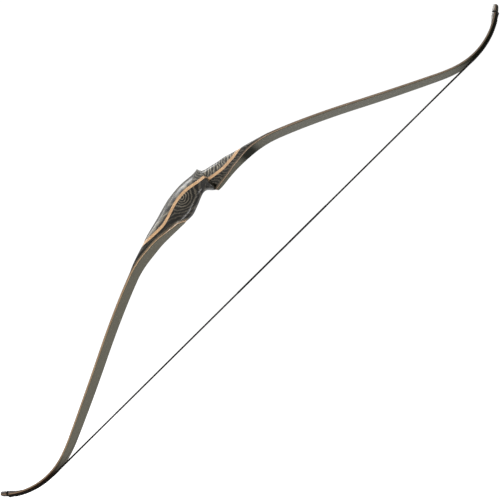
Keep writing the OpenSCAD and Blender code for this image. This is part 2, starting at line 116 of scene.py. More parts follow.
# Sizes of the bow, the same as the CAD part's. The riser's wood ends FADE_UP above and FADE_LOW below z = 0
MID_Z = -16.0
GLASS, CORE_FADE, CORE_TIP = 1.0, 1.8, 1.1
W_FADE, W_MID, W_RECURVE, W_TIP, TIP_TAPER = 43.0, 43.5, 36.5, 13.0, 1.5
BEND_H = 395.0
FADE_UP, FADE_LOW = 176.0, 223.0
THROAT_W, THROAT_DEPTH, PALM_W = 29.0, 42.6, 38.0
SHELF_Z, SHELF_OUT, SHELF_DROP, SHELF_CROWN = 24.0, 20.0, 4.0, 2.0
SHELF_MID_X, SHELF_HALF_L = -13.0, 24.0
WINDOW_Y, WINDOW_FAR = 4.0, 20.0
STRIPE_T = 6.0
STRIPE_ENDS, FRONT_ENDS = (-168.0, 114.0), (-157.0, 105.0)
SCARF_LOW, SCARF_UP = (-74.0, -60.0), (22.0, 17.0)
STRIP_LOW_Z, STRIP_UP_Z = -82.0, SHELF_Z + 6
STRAND_R, TWIST_R, SERVING_R, LOOP_R = 1.5, 1.9, 1.75, 1.3
NOCK_Z, SERVING_L, TWIST_L, LOOP_L = 35.0, 250.0, 178.0, 16.0
LAP_L, LAP_REST, LAP_GAP = 26.0, 8.0, 0.2
OVERLAY_L, GROOVE_END = 50.0, 14.0
CORD_GAP, FEATHER = 0.2, 0.3

# Sizes that only the looks have
BEND_REACH = 145.0
GLUE = 0.2
EDGE_ROUND, SHOULDER = 0.6, 0.5
TIP_OUT, TIP_FLARE, TIP_FLARE_L = 2.2, 0.9, 5.0
NOSE_L, NOSE_W, NOSE_T, NOSE_BACK = 5.0, 0.4, 0.45, 1.5
SADDLE_HALF, SADDLE_DEPTH = 3.2, 1.7
CAP_RISE, CAP_TOP_L, CAP_ROUND = 4.4, 5.0, 0.9
FUZZ, CONTACT_FUZZ = 0.25, 0.15
THREAD_PITCH, THREAD_DEPTH = 0.7, 0.05
RISER_STEP = 2.2

# Belly line of a limb, as arcs of (length, turn)
ARCS = (
    (16, 26.5), (72, 12.6), (42, 3.8), (52, 18.3), (66, 2.85), (104, 3), (183.5, -1.95), (34, -6.65),
    (167.4, -66.15),
)
START, HEADING = (26.1, 23.6), -38.6


def arc_point(p, heading, arc, share):
    """Place at a share of the arc that leaves p with a heading. Headings are from straight outwards."""
    r = arc[0] / math.radians(arc[1])
    turned = heading + arc[1] * share
    return p[0] + r * (cosd(heading) - cosd(turned)), p[1] + r * (sind(turned) - sind(heading))


# Distance, place and heading at the start of each arc, with the arc
ARC_STARTS = []
LIMB_END, place, heading = 0.0, START, HEADING
for arc in ARCS:
    ARC_STARTS.append((LIMB_END, place, heading, arc))
    LIMB_END, place, heading = LIMB_END + arc[0], arc_point(place, heading, arc, 1), heading + arc[1]


def last_arc(passed):
    """The last arc whose start has been passed, or else the first arc."""
    return ([a for a in ARC_STARTS if passed(a)] or ARC_STARTS[:1])[-1]


def belly(s):
    """X, height and heading of the belly line at distance s."""
    s0, p, heading, arc = last_arc(lambda a: s >= a[0])
    share = (s - s0) / arc[0]
    return (*arc_point(p, heading, arc, share), heading + arc[1] * share)


def distance_at(h):
    """Distance along the belly line at height h."""
    s0, p, heading, arc = last_arc(lambda a: h >= a[1][1])
    r = arc[0] / math.radians(arc[1])
    return s0 + r * (math.asin(sind(heading) + (h - p[1]) / r) - math.radians(heading))


def world(side, x, y, h):
    """Place in the frame of a point at height h on a side."""
    return x, y, MID_Z + OUTWARD[side] * h


def height(side, z):
    """Height outwards on a side, of height z on the riser."""
    return OUTWARD[side] * (z - MID_Z)


# Distances of the limb's features. The string leaves the recurve where the belly line runs straight outwards
S_RECURVE = ARC_STARTS[-1][0]
S_GROOVE = LIMB_END - GROOVE_END
S_JOIN = S_GROOVE - LOOP_L
S_OVERLAY = LIMB_END - OVERLAY_L
S_FADE = {"upper": distance_at(height("upper", FADE_UP)), "lower": distance_at(height("lower", -FADE_LOW))}
RECURVE_R = ARCS[-1][0] / math.radians(-ARCS[-1][1])
S_LIFT = S_RECURVE + math.radians(ARC_STARTS[-1][2]) * RECURVE_R
S_CONTACT = (S_JOIN + S_LIFT) / 2
STRING_X = belly(S_LIFT)[0] + TWIST_R + CORD_GAP
LIFT_H = belly(S_LIFT)[1]
TIP_END = LIMB_END + TIP_OUT


def slope(pts, i):
    """Slope at point i, from the points on both sides of it."""
    a, b = max(0, i - 1), min(len(pts) - 1, i + 1)
    return (pts[b][1] - pts[a][1]) / (pts[b][0] - pts[a][0])


def curve(at, pts):
    """Value at a place, on a smooth curve through points of (place, value). It is level beyond its ends."""
    i = 0
    while i < len(pts) - 2 and at >= pts[i + 1][0]:
        i += 1
    run = pts[i + 1][0] - pts[i][0]
    t = clamp((at - pts[i][0]) / run)
    m0, m1 = slope(pts, i) * run, slope(pts, i + 1) * run
    return ((2 * t ** 3 - 3 * t ** 2 + 1) * pts[i][1] + (t ** 3 - 2 * t ** 2 + t) * m0
            + (3 * t ** 2 - 2 * t ** 3) * pts[i + 1][1] + (t ** 3 - t ** 2) * m1)


def core_t(s):
    """Thickness of one core strip, with half of the glue line."""
    s0 = S_FADE["upper"]
    return CORE_FADE + (CORE_TIP - CORE_FADE) * clamp((s - s0) / (LIMB_END - s0))


LAYERS = ("belly_glass", "belly_core", "glue_line", "back_core", "back_glass")
BELLY_FACE, BACK_FACE = 0, len(LAYERS)


def depth(i, s):
    """Depth of face i of the layers: the belly, the four faces between them, and the back."""
    c = core_t(s)
    return (0, GLASS, GLASS + c - GLUE, GLASS + c + GLUE, GLASS + 2 * c, 2 * (GLASS + c))[i]


def half_w(s):
    """Half width of a limb, without the carving of its tip."""
    s0 = S_FADE["upper"]
    run, hook = S_RECURVE - s0, S_GROOVE - S_RECURVE
    return curve(s, [
        (s0, W_FADE / 2), (s0 + 0.55 * run, W_MID / 2), (s0 + 0.77 * run, 0.26 * (W_MID + W_RECURVE)),
        (s0 + 0.975 * run, W_RECURVE / 2), (S_RECURVE + 0.42 * hook, 0.21 * (W_RECURVE + W_TIP)),
        (S_GROOVE, W_TIP / 2), (LIMB_END, W_TIP / 2 - TIP_TAPER),
    ])


# How much fuller the riser's belly is than a limb's own line, at heights z
FULLNESS = [
    (-223, 0), (-200, 0.9), (-172, 1.4), (-140, 0.3), (-116, 1.7), (-96, 2.4), (-86, 2.1), (-77, 2.3),
    (-68, 4.3), (-59, 6.2), (-40, 6.2), (10, -2.6), (50, -3.1), (90, -3.1), (126, -2.3), (150, -0.9),
    (176, 0),
]


def strip_line(side, z, i):
    """X of face i of the strips that are bonded to the riser."""
    s = distance_at(height(side, z))
    x, _, heading = belly(s)
    return x + curve(z, FULLNESS) - depth(i, s) / cosd(heading)


def between(z, z0, x0, z1, x1):
    """X at z on the straight line from x0 at z0 to x1 at z1."""
    return x0 + (x1 - x0) * (z - z0) / (z1 - z0)


def bond_line(z):
    """X of the bond between the wood and the strips. It runs straight where their ends are scarfed."""
    def scarf(side, near, end):
        return between(z, near, strip_line(side, near, BACK_FACE), end, strip_line(side, end, BACK_FACE))
    if z < STRIP_LOW_Z:
        return strip_line("lower", z, BACK_FACE)
    if z < SCARF_LOW[1]:
        return scarf("lower", STRIP_LOW_Z, SCARF_LOW[1])
    if z > STRIP_UP_Z:
        return strip_line("upper", z, BACK_FACE)
    return scarf("upper", STRIP_UP_Z, SCARF_UP[1])


# Belly of the grip, from scarf to scarf, where it meets the bond line just beyond its ends
JUST = 0.001
GRIP_LINE = [
    (SCARF_LOW[1], bond_line(SCARF_LOW[1] - JUST)),
    (-50, 17.7), (-43, 15.6), (-37, 13.2), (-31, 10.9), (-24, 8.1), (-17, 5.0), (-10, 2.0), (-4, 0.3),
    (0, 0), (4, 0.9), (8, 3.8), (12.5, 8.6), (SCARF_UP[1], bond_line(SCARF_UP[1] + JUST)),
]


def wood_belly(z):
    return bond_line(z) if z < SCARF_LOW[1] or z > SCARF_UP[1] else curve(z, GRIP_LINE)


def outer_belly(z):
    """X of the belly with the strips on it."""
    def scarf(side, start, end):
        return between(z, start, strip_line(side, start, BELLY_FACE), end, wood_belly(end))
    if z < SCARF_LOW[0]:
        return strip_line("lower", z, BELLY_FACE)
    if z < SCARF_LOW[1]:
        return scarf("lower", *SCARF_LOW)
    if z > SCARF_UP[0]:
        return strip_line("upper", z, BELLY_FACE)
    if z > SCARF_UP[1]:
        return scarf("upper", *SCARF_UP)
    return curve(z, GRIP_LINE)


# Back of the riser, and middle of the accent stripe
FRONT_LINE = [
    (-223, 22.2), (-207, 13.9), (-187, 5.4), (-166, -3), (-146, -12.1), (-126, -19.3),
    (-106, -26), (-86, -33.1), (-66, -38.9), (-46, -41.7), (-25, -THROAT_DEPTH - 1),
    (-5, -THROAT_DEPTH), (15, -THROAT_DEPTH + 3), (SHELF_Z, -THROAT_DEPTH + 3.9),
    (SHELF_Z + 5, -35.9), (53, -29.9), (73, -23.9), (93, -15.6), (114, -6.5),
    (134, 0.9), (155, 8.3), (176, 15.7),
]
STRIPE_LINE = [
    (-168, -4.2), (-136, -2.1), (-106, -3.1), (-86, -8.8), (-66, -16), (-46, -20.5),
    (-25, -22.1), (-5, -20.2), (15, -15.5), (25, -13.4), (43, -10.2), (63, -7.7),
    (83, -6.3), (104, -6.6), (114, -7.4),
]


def within(z, ends):
    return ends[0] <= z <= ends[1]


def back_line(z):
    return min(curve(z, FRONT_LINE), wood_belly(z) - FEATHER)


def stripe_front(z):
    if not within(z, FRONT_ENDS):
        return back_line(z)
    return max(back_line(z) + FEATHER, curve(z, STRIPE_LINE) - STRIPE_T / 2)


def stripe_back(z):
    if not within(z, STRIPE_ENDS):
        return back_line(z)
    return max(stripe_front(z) + FEATHER, curve(z, STRIPE_LINE) + STRIPE_T / 2)


# Flanks of the riser: the far one, and the near one below and above the shelf
RIGHT_FLANK = [
    (-FADE_LOW, W_FADE / 2), (-185, 21.2), (-147, 20), (-106, 17.4), (-76, 17.2),
    (-40, PALM_W / 2), (-18, 16.6), (0, THROAT_W / 2), (14, 17.2), (SHELF_Z, WINDOW_FAR),
    (55, WINDOW_FAR - 0.2), (93, WINDOW_FAR), (124, 20.4), (154, 21), (FADE_UP, W_FADE / 2),
]
LEFT_FLANK_LOW = [
    (-FADE_LOW, -W_FADE / 2), (-185, -21.2), (-147, -20), (-106, -17.4), (-76, -17.2),
    (-40, -PALM_W / 2), (-18, -16.6), (0, -THROAT_W / 2), (12, -17), (SHELF_Z - SHELF_DROP, -SHELF_OUT),
]
LEFT_FLANK_UP = [
    (SHELF_Z, WINDOW_Y), (SHELF_Z + 30, WINDOW_Y), (66, 1.5), (78, -3), (90, -5.5), (102, -10), (114, -14.5),
    (126, -17.8), (154, -20.7), (FADE_UP, -W_FADE / 2),
]

# Radii of the riser's corners. A corner is longer than it is deep, and takes at most a share of the width
BACK_CORNER = [
    (-223, 0.8), (-190, 2), (-150, 6), (-100, 10), (-40, 13), (0, 11), (SHELF_Z, 6),
    (60, 5), (110, 4), (150, 2), (176, 0.8),
]
BELLY_CORNER_LOW = [
    (-223, 0.8), (-150, 0.8), (-128, 2.6), (-106, 5.2), (-88, 8), (-78, 10.4), (-68, 14.4),
    (-50, 15), (-20, 14), (0, 12), (14, 11), (24, 9),
]
BELLY_CORNER_UP = [(SCARF_UP[1], 11), (SHELF_Z, 5), (SHELF_Z + 12, 1.6), (60, 0.8), (176, 0.8)]
CORNER_STRETCH, CORNER_SHARE = 1.7, 0.45


def corner(d, r):
    """How far a corner of radius r draws the flank in, at distance d from the end of the section."""
    reach = CORNER_STRETCH * r
    return 0.0 if d >= reach else r * (1 - math.sqrt(1 - (1 - max(0, d) / reach) ** 2))


def shelf_angle(z):
    """Angle round the shelf's rounded edge, from 0 at its foot to a quarter turn on the shelf."""
    return math.asin(clamp((z - SHELF_Z + SHELF_DROP) / SHELF_DROP))


def flank_left(z):
    if z <= SHELF_Z - SHELF_DROP:
        return curve(z, LEFT_FLANK_LOW)
    if z < SHELF_Z:
        return -SHELF_OUT + (SHELF_OUT + WINDOW_Y) * (1 - math.cos(shelf_angle(z)))
    return min(WINDOW_Y, curve(z, LEFT_FLANK_UP))


def inset(z, x, belly_x, belly_r):
    """How far the corners at the back and at the belly draw a flank in at x."""
    most = CORNER_SHARE * (curve(z, RIGHT_FLANK) - flank_left(z))
    return (corner(x - back_line(z), min(most, curve(z, BACK_CORNER)))
            + corner(belly_x - x, min(most, belly_r)))


def left_y(z, x):
    radii = BELLY_CORNER_UP if z > SHELF_Z else BELLY_CORNER_LOW
    belly_x = wood_belly(z) if SCARF_UP[1] < z <= SHELF_Z else outer_belly(z)
    return flank_left(z) + inset(z, x, belly_x, curve(z, radii))


def right_y(z, x):
    radii = BELLY_CORNER_LOW if z < SCARF_UP[1] else BELLY_CORNER_UP
    return curve(z, RIGHT_FLANK) - inset(z, x, outer_belly(z), curve(z, radii))


def crown(z, x):
    """Fall of the crowned shelf at x, towards the back and towards the belly."""
    if SHELF_Z - SHELF_DROP < z <= SHELF_Z:
        return -SHELF_CROWN * math.sin(shelf_angle(z)) * min(1, ((x - SHELF_MID_X) / SHELF_HALF_L) ** 2)
    return 0.0


def section(z, x0, x1, shares):
    """Ring of a riser piece between x0 and x1, with points at shares of its depth on both flanks."""
    xs = [x0 + (x1 - x0) * f for f in shares]
    left = [(x, left_y(z, x), z + crown(z, x)) for x in xs]
    return left + [(x, right_y(z, x), z) for x in reversed(xs)]


def spread(keys):
    """Even steps of about RISER_STEP from key to key, without the last key."""
    places = []
    for a, b in zip(keys, keys[1:]):
        n = max(1, round((b - a) / RISER_STEP))
        places += [a + (b - a) * i / n for i in range(n)]
    return places


# Heights of the riser's sections, closer than the CAD part's, and closest on the shelf's rounded edge
SHELF_FOOT = SHELF_Z - SHELF_DROP
RISER_Z = spread((-FADE_LOW, STRIPE_ENDS[0], FRONT_ENDS[0], STRIP_LOW_Z, *SCARF_LOW, SCARF_UP[1], SHELF_FOOT))
RISER_Z += [SHELF_FOOT + SHELF_DROP * sind(t) for t in range(0, 91, 6)]
RISER_Z += spread((SHELF_Z, STRIP_UP_Z, FRONT_ENDS[1], STRIPE_ENDS[1], FADE_UP))[1:]
RISER_Z.append(FADE_UP)


# Meshes
def loft(name, rings, sharp, uv=None, inside_out=False):
    """A closed skin through rings of points in millimetres. Edges bent by more than sharp degrees stay sharp,
    and uv gives the surface's place at point j of ring r."""
    n, m = len(rings[0]), len(rings)
    verts = [tuple(c * MM for c in p) for ring in rings for p in ring]
    faces = []
    for i in range(m - 1):
        for j in range(n):
            a, b = i * n + j, i * n + (j + 1) % n
            faces.append((a, b, b + n, a + n))
    faces.append(tuple(range(n - 1, -1, -1)))
    faces.append(tuple(range((m - 1) * n, m * n)))
    mesh = bpy.data.meshes.new(name)
    mesh.from_pydata(verts, [], faces)
    mesh.update()
    mesh.validate()
    if uv is not None:
        layer = mesh.uv_layers.new(name="along")
        for loop in mesh.loops:
            layer.data[loop.index].uv = uv(*divmod(loop.vertex_index, n))
    mesh.shade_smooth()
    mesh.set_sharp_from_angle(angle=math.radians(sharp))
    if inside_out:
        mesh.flip_normals()
    obj = bpy.data.objects.new(name, mesh)
    bpy.context.scene.collection.objects.link(obj)
    return obj


def dress(obj, material):
    obj.data.materials.clear()
    obj.data.materials.append(material)


# Materials
class Tree:
    """Adds nodes to a node tree. A call that adds one returns its output, and split returns three of them."""

    def __init__(self, node_tree):
        self.nodes, self.links = node_tree.nodes, node_tree.links

    def feed(self, socket, value):
        if isinstance(value, (int, float)):
            socket.default_value = value
        else:
            self.links.new(value, socket)

    def math(self, operation, *values):
        node = self.nodes.new("ShaderNodeMath")
        node.operation = operation
        for socket, value in zip(node.inputs, values):
            self.feed(socket, value)
        return node.outputs[0]

    def coords(self, kind):
        return self.nodes.new("ShaderNodeTexCoord").outputs[kind]

    def split(self, vector):
        node = self.nodes.new("ShaderNodeSeparateXYZ")
        self.links.new(vector, node.inputs[0])
        return node.outputs

    def noise(self, vector, scale, detail=2.0, roughness=0.5):
        """Noise with its own scale along each axis."""
        mapping = self.nodes.new("ShaderNodeMapping")
        mapping.inputs["Scale"].default_value = scale
        self.links.new(vector, mapping.inputs["Vector"])
        node = self.nodes.new("ShaderNodeTexNoise")
        node.inputs["Scale"].default_value = 1.0
        node.inputs["Detail"].default_value = detail
        node.inputs["Roughness"].default_value = roughness
        self.links.new(mapping.outputs["Vector"], node.inputs["Vector"])
        return node.outputs["Fac"]

    def ramp(self, value, stops):
        """Colour ramp through (place, colour) stops."""
        node = self.nodes.new("ShaderNodeValToRGB")
        elements = node.color_ramp.elements
        while len(elements) < len(stops):
            elements.new(0.5)
        for element, (place, color) in zip(elements, stops):
            element.position = place
            element.color = (*color, 1)
        self.links.new(value, node.inputs["Fac"])
        return node.outputs["Color"]

    def scaled(self, color, scale):
        node = self.nodes.new("ShaderNodeVectorMath")
        node.operation = "SCALE"
        self.links.new(color, node.inputs[0])
        self.links.new(scale, node.inputs["Scale"])
        return node.outputs["Vector"]

    def mixed(self, share, dark, light):
        node = self.nodes.new("ShaderNodeMix")
        node.data_type = "RGBA"
        self.links.new(share, node.inputs["Factor"])
        node.inputs["A"].default_value = (*dark, 1)
        node.inputs["B"].default_value = (*light, 1)
        return node.outputs["Result"]

    def bump(self, height, distance):
        node = self.nodes.new("ShaderNodeBump")
        node.inputs["Distance"].default_value = distance
        node.inputs["Strength"].default_value = 1.0
        self.links.new(height, node.inputs["Height"])
        return node.outputs["Normal"]


def srgb(color):
    """Linear values of an sRGB colour given in 0 to 255."""
    return tuple((v / 255 / 12.92) if v <= 10 else ((v / 255 + 0.055) / 1.055) ** 2.4 for v in color)


class Surface(Tree):
    """A new material and its shader. Colours are given in sRGB, and lengths in metres."""

    def __init__(self, name, roughness, coat=0.0, coat_roughness=0.05, specular=0.5):
        self.material = bpy.data.materials.new(name)
        self.material.use_nodes = True
        super().__init__(self.material.node_tree)
        self.inputs = self.nodes["Principled BSDF"].inputs
        self.inputs["Roughness"].default_value = roughness
        self.inputs["Coat Weight"].default_value = coat
        self.inputs["Coat Roughness"].default_value = coat_roughness
        self.inputs["Specular IOR Level"].default_value = specular

    def finish(self, color, relief=None, relief_depth=0.0, specular=None):
        self.links.new(color, self.inputs["Base Color"])
        if relief is not None:
            self.links.new(self.bump(relief, relief_depth), self.inputs["Normal"])
        if specular is not None:
            self.links.new(specular, self.inputs["Specular IOR Level"])
        return self.material

    def tones(self, value, place_low, low, place_high, high):
        return self.ramp(value, [(place_low, srgb(low)), (place_high, srgb(high))])

    def wood(self, coords, fine, wide):
        """Fine grain, and the tone that it makes together with wide bands."""
        grain = self.noise(coords, fine, 4.0, 0.65)
        bands = self.noise(coords, wide)
        return grain, self.math("MULTIPLY_ADD", bands, 0.6, self.math("MULTIPLY", grain, 0.6))


class Veneers(Surface):
    """Dyed veneers pressed together. A stroke is the edge of one of them."""

    def __init__(self, name, coat, coat_roughness):
        super().__init__(name, roughness=0.42, coat=coat, coat_roughness=coat_roughness, specular=0.04)
        coords = self.coords("Object")
        self.x, self.y, self.z = self.split(coords)
        self.bend = self.noise(coords, (90, 60, 60))
        self.cloud = self.noise(coords, (160, 160, 70), 3.0, 0.6)
        self.grain = self.noise(coords, (900, 900, 40), 3.0, 0.6)

    def strokes(self, count, bent, sharpness):
        """Waves of a count that the bend noise moves by up to bent."""
        phase = self.math("MULTIPLY", self.math("MULTIPLY_ADD", self.bend, bent, count), 2 * math.pi)
        wave = self.math("MULTIPLY_ADD", self.math("SINE", phase), 0.5, 0.5)
        return self.math("POWER", wave, sharpness)


def palm_rings(veneers):
    """Count, bend and strength of the lines on the grip block: rings where the palm swell cuts them."""
    centre_x, centre_z, longest, pitch = -0.016, -0.0395, 0.034, 0.0052
    strongest, fade_reach, weakest = 0.86, 0.056, 0.22
    calc = veneers.math
    across = calc("ADD", veneers.x, -centre_x)
    along = calc("TANH", calc("DIVIDE", calc("ADD", veneers.z, -centre_z), longest))
    along = calc("MULTIPLY", along, longest)
    reach = calc("SQRT", calc("ADD", calc("MULTIPLY", across, across), calc("MULTIPLY", along, along)))
    strength = calc("MAXIMUM", calc("SUBTRACT", strongest, calc("DIVIDE", reach, fade_reach)), weakest)
    return calc("DIVIDE", reach, pitch), 1.3, strength


def block_lines(veneers):
    """Count, bend and strength of the lines on the front block, which run along the bow."""
    pitch_across, pitch_deep = 0.0019, 0.01
    calc = veneers.math
    count = calc("ADD", calc("DIVIDE", veneers.y, pitch_across), calc("DIVIDE", veneers.x, pitch_deep))
    return count, 1.4, calc("MULTIPLY_ADD", veneers.cloud, 0.4, 0.4)


def feather_lines(veneers):
    """Count and bend of the lines beside the window, where the veneers slant on both sides of a ridge."""
    ridge_x, lean, slant, pitch = -0.006, 0.12, 0.8, 0.0082
    calc = veneers.math
    beyond = calc("ADD", veneers.x, -ridge_x)
    rise = calc("MULTIPLY_ADD", beyond, lean, calc("MULTIPLY", calc("ABSOLUTE", beyond), slant))
    return calc("DIVIDE", calc("SUBTRACT", veneers.z, rise), pitch), 2.2


def laminate(name, dark, light, lines, feather, coat, coat_roughness):
    """Wood of the riser, with lines below the shelf and a feather of a given strength above it."""
    veneers = Veneers(name, coat, coat_roughness)
    calc = veneers.math
    above = calc("GREATER_THAN", veneers.z, (SHELF_Z - 1) * MM)
    count, bent, strength = lines(veneers)
    below = calc("MULTIPLY", strength, calc("SUBTRACT", 1.0, above))
    low = calc("MULTIPLY", veneers.strokes(count, bent, sharpness=1.7), below)
    high = veneers.strokes(*feather_lines(veneers), sharpness=1.6)
    high = calc("MULTIPLY", high, calc("MULTIPLY", above, feather))
    tone = calc("MULTIPLY", calc("ADD", low, high), calc("MULTIPLY_ADD", veneers.cloud, 1.5, -0.1))
    tone = calc("SUBTRACT", calc("MULTIPLY_ADD", veneers.grain, 0.3, tone), 0.1)
    dark, light = srgb(dark), srgb(light)
    middle = tuple((a * 2 + b) / 3 for a, b in zip(dark, light))
    color = veneers.ramp(tone, [(0.1, dark), (0.5, middle), (0.95, light)])
    return veneers.finish(color, veneers.grain, relief_depth=0.000004)


def plain_wood(name, low, high, scale, roughness=0.35, coat=0.6):
    """Varnished wood, with bands wider than its grain."""
    surface = Surface(name, roughness, coat, coat_roughness=0.08)
    band_scale = tuple(v * 0.22 for v in scale)
    grain, tone = surface.wood(surface.coords("Object"), scale, band_scale)
    return surface.finish(surface.tones(tone, 0.3, low, 0.85, high), grain, relief_depth=0.00003)


# Length of limb that a shade covers, in metres
SHADE_RUN = 0.8


def limb_shade(surface, coords, stops):
    """Brightness along a limb, through stops of (distance in metres, brightness) up to SHADE_RUN."""
    place = surface.math("DIVIDE", surface.split(coords)["Y"], SHADE_RUN)
    return surface.ramp(place, [(s / SHADE_RUN, (v, v, v)) for s, v in stops])


def limb_wood(name, low, high, shades):
    """Core lamination seen at its edge."""
    surface = Surface(name, roughness=0.4, coat=0.15, coat_roughness=0.1, specular=0.3)
    coords = surface.coords("UV")
    grain, tone = surface.wood(coords, (900, 24, 1), (200, 6, 1))
    color = surface.scaled(surface.tones(tone, 0.3, low, 0.85, high), limb_shade(surface, coords, shades))
    return surface.finish(color, grain, relief_depth=0.00001)


def glass_skin(name, run, dark, dark_reflection_patch):
    """Clear glass cloth over black, with fine streaks along the limb. Its colour holds a painted reflection
    of the pale room on the straight run. The reflection is painted out on the recurve and in a patch over the
    fade-out, and the gloss follows the same shares."""
    run_end, hook_start = 0.572, 0.62
    gloss, least_gloss = 0.05, 0.008
    surface = Surface(name, roughness=0.3)
    coords = surface.coords("UV")
    streak = surface.noise(coords, (2200, 14, 1), 3.0, 0.6)
    cloud = surface.noise(coords, (60, 9, 1))
    # Painted reflection: the share of the room's grey that is painted into the colour, by place along the
    # limb
    painted_reflection = limb_shade(surface, coords, [(0.0, 1), *dark_reflection_patch, (run_end, 1), (hook_start, 0), (SHADE_RUN, 0)])
    fine = surface.math("MULTIPLY_ADD", cloud, 0.16, surface.math("MULTIPLY", streak, 0.2))
    color = surface.scaled(surface.mixed(painted_reflection, srgb(dark), srgb(run)), surface.math("ADD", fine, 0.82))
    return surface.finish(color, specular=surface.math("MULTIPLY_ADD", painted_reflection, gloss, least_gloss))


def cord_material(name, low, high):
    """Waxed thread: fibres laid along the cord, from the u,v of its own surface."""
    surface = Surface(name, roughness=0.6, specular=0.08)
    coords = surface.coords("UV")
    fibre = surface.noise(coords, (14, 900, 1), 3.0, 0.6)
    fleck = surface.noise(coords, (4, 160, 1))
    tone = surface.math("MULTIPLY_ADD", fleck, 0.5, surface.math("MULTIPLY", fibre, 0.6))
    return surface.finish(surface.tones(tone, 0.3, low, 0.8, high), fibre, relief_depth=0.00006)


GRIP_MAT = laminate("grip_laminate", (10, 8, 4), (148, 139, 121), palm_rings,
                    feather=0.36, coat=0.42, coat_roughness=0.24)
FRONT_MAT = laminate("front_laminate", (14, 12, 8), (150, 143, 126), block_lines,
                     feather=0.95, coat=0.9, coat_roughness=0.34)
STRIPE_MAT = plain_wood("accent_wood", (131, 93, 56), (178, 144, 104), (700, 700, 30))
# Tones of the core strips. The upper limb's are darker: painted shade for its shaded side.
CORE_TONES_UPPER_SHADED = {"upper": ((90, 71, 54), (132, 112, 92)), "lower": ((116, 89, 61), (164, 137, 106))}
GLUE_TONES = (34, 22, 14), (72, 48, 32)
CORE_SHADES = {
    "belly_core": ((0.0, 1.0), (0.2, 1.0), (0.27, 0.6), (0.56, 0.6), (0.62, 0.5), (0.8, 0.45)),
    "back_core": ((0.0, 0.3), (0.17, 0.3), (0.22, 0.95), (0.58, 0.95), (0.64, 0.75), (0.8, 0.65)),
    "glue_line": ((0.0, 0.8), (0.8, 1.0)),
}
LAYER_MATS = {}
for side in OUTWARD:
    for layer, shades in CORE_SHADES.items():
        tones = GLUE_TONES if layer == "glue_line" else CORE_TONES_UPPER_SHADED[side]
        LAYER_MATS[side, layer] = limb_wood(f"{side}_{layer}", *tones, shades)
# Painted reflection on the limb glass: run is the pale room's grey painted on the straight run, and dark is
# the colour where the reflection is painted out. The patch paints it out over the upper fade-out, and the
# upper and lower glass are painted at different strengths.
DARK_REFLECTION_PATCH = (0.084, 1), (0.1024, 0), (0.124, 0), (0.1424, 1)
for side, run, dark, dark_reflection_patch in (
    ("upper", (64, 62, 50), (18, 19, 11), DARK_REFLECTION_PATCH),
    ("lower", (74, 71, 59), (30, 18, 10), ()),
):
    LAYER_MATS[side, "belly_glass"] = glass_skin(f"{side}_limb_glass_painted_reflection", run, dark, dark_reflection_patch)
    LAYER_MATS[side, "back_glass"] = LAYER_MATS[side, "belly_glass"]
# Tip overlays: the upper one's light tones are a painted highlight on its back, and the lower one keeps the
# overlay's own dark brown
TIP_MATS = {
    "upper": plain_wood("upper_tip_painted_highlight", (26, 24, 22), (176, 171, 164), (500, 500, 160), 0.2, 1.0),
    "lower": plain_wood("lower_tip_laminate", (12, 9, 7), (52, 40, 32), (500, 500, 60), 0.2, 0.8),
}
STRING_MAT = cord_material("string_fibre", (5, 5, 4), (28, 26, 23))
SERVING_MAT = cord_material("serving_thread", (3, 3, 3), (12, 12, 11))

# Shares of a riser piece's depth at which its points lie, closer together at a rounded face
ROUND_BOTH = [(1 - cosd(6 * i)) / 2 for i in range(31)]
ROUND_BACK = [1 - cosd(90 * i / 16) for i in range(17)]
QUARTERS = (0, 0.25, 0.5, 0.75, 1)

# Riser: each piece's name, node, slot, material, front face, rear face, shares and ends
RISER_PIECES = (
    ("grip_wood", "riser_grip_block", "riser_laminate", GRIP_MAT,
     stripe_back, wood_belly, ROUND_BOTH, (-FADE_LOW, FADE_UP)),
    ("front_wood", "riser_front_block", "front_laminate", FRONT_MAT,
     back_line, stripe_front, ROUND_BACK, FRONT_ENDS),
    ("stripe_wood", "accent_stripe", "accent_wood", STRIPE_MAT,
     stripe_front, stripe_back, QUARTERS, STRIPE_ENDS),
)
for name, node, slot, material, front_face, rear_face, shares, ends in RISER_PIECES:
    rings = [section(z, front_face(z), rear_face(z), shares) for z in RISER_Z if within(z, ends)]
    obj = loft(name, rings, sharp=40, inside_out=True)
    dress(obj, material)
    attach(obj, "riser")
    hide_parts(node)


# Limbs
def limb_point(s, d):
    """X and height at depth d below the belly line."""
    x, h, heading = belly(s)
    return x - d * cosd(heading), h + d * sind(heading)


def nose(s):
    """1 on the tip, falling to 0 at its very end."""
    t = (s - (TIP_END - NOSE_L)) / NOSE_L
    return math.sqrt(max(0, 1 - t * t)) if t > 0 else 1.0


def saddle(s):
    """Depth of the carved saddle that the loop lies in."""
    d = abs(s - S_GROOVE) / SADDLE_HALF
    return SADDLE_DEPTH * cosd(90 * d) ** 2 if d < 1 else 0.0


def edge_w(s):
    """Half width of the limb, with the flare, the nose and the saddle of its tip."""
    w = half_w(min(s, LIMB_END)) + TIP_FLARE * clamp((s - S_GROOVE) / TIP_FLARE_L)
    return w * (NOSE_W + (1 - NOSE_W) * nose(s)) - saddle(s)


def rounded(s, d):
    """Depth d on the tip, drawn in as the nose rounds off towards a place NOSE_BACK behind the middle."""
    middle = depth(BACK_FACE, s) / 2 + NOSE_BACK
    return middle + (d - middle) * (NOSE_T + (1 - NOSE_T) * nose(s))


def cap_t(s):
    """Thickness of the overlay on the back of the tip, which rises from a feathered start."""
    rise = clamp((s - S_OVERLAY) / (S_GROOVE - CAP_TOP_L - S_OVERLAY))
    return FEATHER + CAP_RISE * rise * rise * (3 - 2 * rise) - saddle(s)


